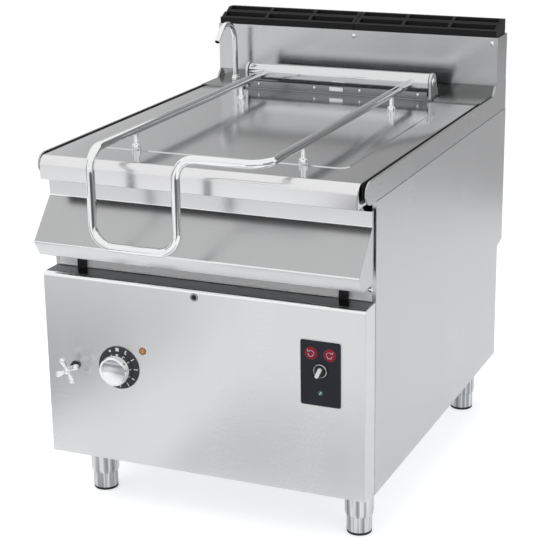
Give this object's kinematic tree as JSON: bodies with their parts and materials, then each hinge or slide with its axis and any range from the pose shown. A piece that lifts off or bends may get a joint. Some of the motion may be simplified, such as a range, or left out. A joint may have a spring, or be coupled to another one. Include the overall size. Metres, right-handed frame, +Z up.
{
  "type": "tilting bratt pan",
  "caption": "Free-standing gas bratt pan with a lidded rectangular pan that tips forward, a chrome lid handle, a water spout, a rear flue and front controls",
  "frame": {"origin": "bottom centre of the whole outline: on the floor, midway between the outer faces left and right, and midway between the handle loop and the back", "axes": "+X to the right seen from the front, +Y from the front to the back, +Z up"},
  "size_m": [0.8, 1.19, 1.062],
  "materials": {
    "brushed_steel": "satin brushed stainless steel",
    "chrome_trim": "polished",
    "black_casting": "semi-matt black",
    "black_grate": "matt black enamel",
    "galvanised_sheet": "galvanised sheet",
    "brass_fittings": "plain",
    "dark_plastic": "fine grained",
    "red_plastic": "smooth",
    "green_lens": "clear lens",
    "amber_lens": "clear lens",
    "mineral_wool": "loose fibre",
    "grey_enclosure": "plain"
  },
  "bodies": {
    "cabinet": {"cabinet_floor": "galvanised_sheet", "side_panel_left": "brushed_steel", "side_panel_right": "brushed_steel", "front_panel": "brushed_steel", "rear_panel": "galvanised_sheet", "front_cross_rail": "brushed_steel", "top_rail_left": "brushed_steel", "top_rail_right": "brushed_steel", "rear_ledge": "brushed_steel", "flue_housing": "brushed_steel", "flue_grate_left": "black_grate", "flue_grate_right": "black_grate", "leg_collars": "brushed_steel", "hinge_blocks": "black_casting", "hinge_pins": "chrome_trim", "cabinet_screws": "chrome_trim", "control_plate": "dark_plastic", "control_housing": "dark_plastic", "power_indicator": "green_lens", "thermostat_bezel": "dark_plastic", "heating_lamp": "amber_lens", "sight_hole_ring": "chrome_trim", "water_valve": "brass_fittings", "water_pipes": "brass_fittings", "spout_nut": "chrome_trim", "gas_valve": "brass_fittings", "gas_manifold": "brass_fittings", "burner_tubes": "galvanised_sheet", "pilot_burner": "brass_fittings", "combustion_chamber": "galvanised_sheet", "flue_duct": "galvanised_sheet", "terminal_box": "grey_enclosure"},
    "pan": {"pan_vessel": "brushed_steel", "pan_casing": "brushed_steel", "pan_insulation": "mineral_wool", "pan_fascia": "brushed_steel", "pan_hinge_ears": "brushed_steel", "tilt_lug": "brushed_steel", "hinge_shelf": "brushed_steel", "lid_hinge_brackets": "brushed_steel", "lid_hinge_shaft": "chrome_trim", "lid_springs": "galvanised_sheet"},
    "lid": {"lid_shell": "brushed_steel", "lid_handle": "chrome_trim", "handle_posts": "chrome_trim", "lid_hinge_tube": "chrome_trim", "lid_hinge_bushes": "black_casting"},
    "foot_fl": {"foot_front_left": "brushed_steel"},
    "foot_fr": {"foot_front_right": "brushed_steel"},
    "foot_rl": {"foot_rear_left": "brushed_steel"},
    "foot_rr": {"foot_rear_right": "brushed_steel"},
    "spout": {"water_spout": "chrome_trim"},
    "tap": {"tap_handle": "chrome_trim"},
    "knob": {"thermostat_knob": "chrome_trim"},
    "selector": {"selector_switch": "chrome_trim"},
    "button_up": {"tilt_up_button": "red_plastic"},
    "button_down": {"tilt_down_button": "red_plastic"},
    "actuator_outer": {"actuator_body": "black_casting"},
    "actuator_inner": {"actuator_rod": "chrome_trim"}
  },
  "joints": [
    {"name": "pan_tilt", "type": "hinge", "parent": "cabinet", "child": "pan", "pos_m": [0, -0.468, 0.657], "axis": [1, 0, 0], "range_deg": [0, 75]},
    {"name": "lid_hinge", "type": "hinge", "parent": "pan", "child": "lid", "pos_m": [0, 0.39, 0.919], "axis": [-1, 0, 0], "range_deg": [0, 72]},
    {"name": "spout_swivel", "type": "hinge", "parent": "cabinet", "child": "spout", "pos_m": [-0.329, 0.45, 0.877], "axis": [0, 0, 1], "range_deg": [-90, 90]},
    {"name": "tap_turn", "type": "hinge", "parent": "cabinet", "child": "tap", "pos_m": [-0.326, -0.537, 0.37], "axis": [0, 1, 0], "range_deg": [0, 360]},
    {"name": "thermostat_turn", "type": "hinge", "parent": "cabinet", "child": "knob", "pos_m": [-0.209, -0.525, 0.381], "axis": [0, 1, 0], "range_deg": [0, 270]},
    {"name": "selector_turn", "type": "hinge", "parent": "cabinet", "child": "selector", "pos_m": [0.295, -0.51, 0.444], "axis": [0, 1, 0], "range_deg": [-45, 45]},
    {"name": "button_up_press", "type": "slide", "parent": "cabinet", "child": "button_up", "axis": [0, 1, 0], "range_m": [0, 0.0015], "stiffness_N_per_m": 800},
    {"name": "button_down_press", "type": "slide", "parent": "cabinet", "child": "button_down", "axis": [0, 1, 0], "range_m": [0, 0.0015], "stiffness_N_per_m": 800},
    {"name": "actuator_swing", "type": "hinge", "parent": "cabinet", "child": "actuator_outer", "pos_m": [0.35, -0.32, 0.215], "axis": [1, 0, 0], "range_deg": [0, 4.27]},
    {"name": "actuator_stroke", "type": "slide", "parent": "actuator_outer", "child": "actuator_inner", "axis": [0, -0.0506, 0.9987], "range_m": [0, 0.1625]},
    {"name": "foot_fl_height", "type": "slide", "parent": "cabinet", "child": "foot_fl", "axis": [0, 0, -1], "range_m": [0, 0.05]},
    {"name": "foot_fr_height", "type": "slide", "parent": "cabinet", "child": "foot_fr", "axis": [0, 0, -1], "range_m": [0, 0.05]},
    {"name": "foot_rl_height", "type": "slide", "parent": "cabinet", "child": "foot_rl", "axis": [0, 0, -1], "range_m": [0, 0.05]},
    {"name": "foot_rr_height", "type": "slide", "parent": "cabinet", "child": "foot_rr", "axis": [0, 0, -1], "range_m": [0, 0.05]}
  ],
  "couplings": [
    {"joint": "actuator_swing", "follows": "pan_tilt", "ratio": 0.056744},
    {"joint": "actuator_stroke", "follows": "pan_tilt", "m_per_rad": 0.124}
  ]
}
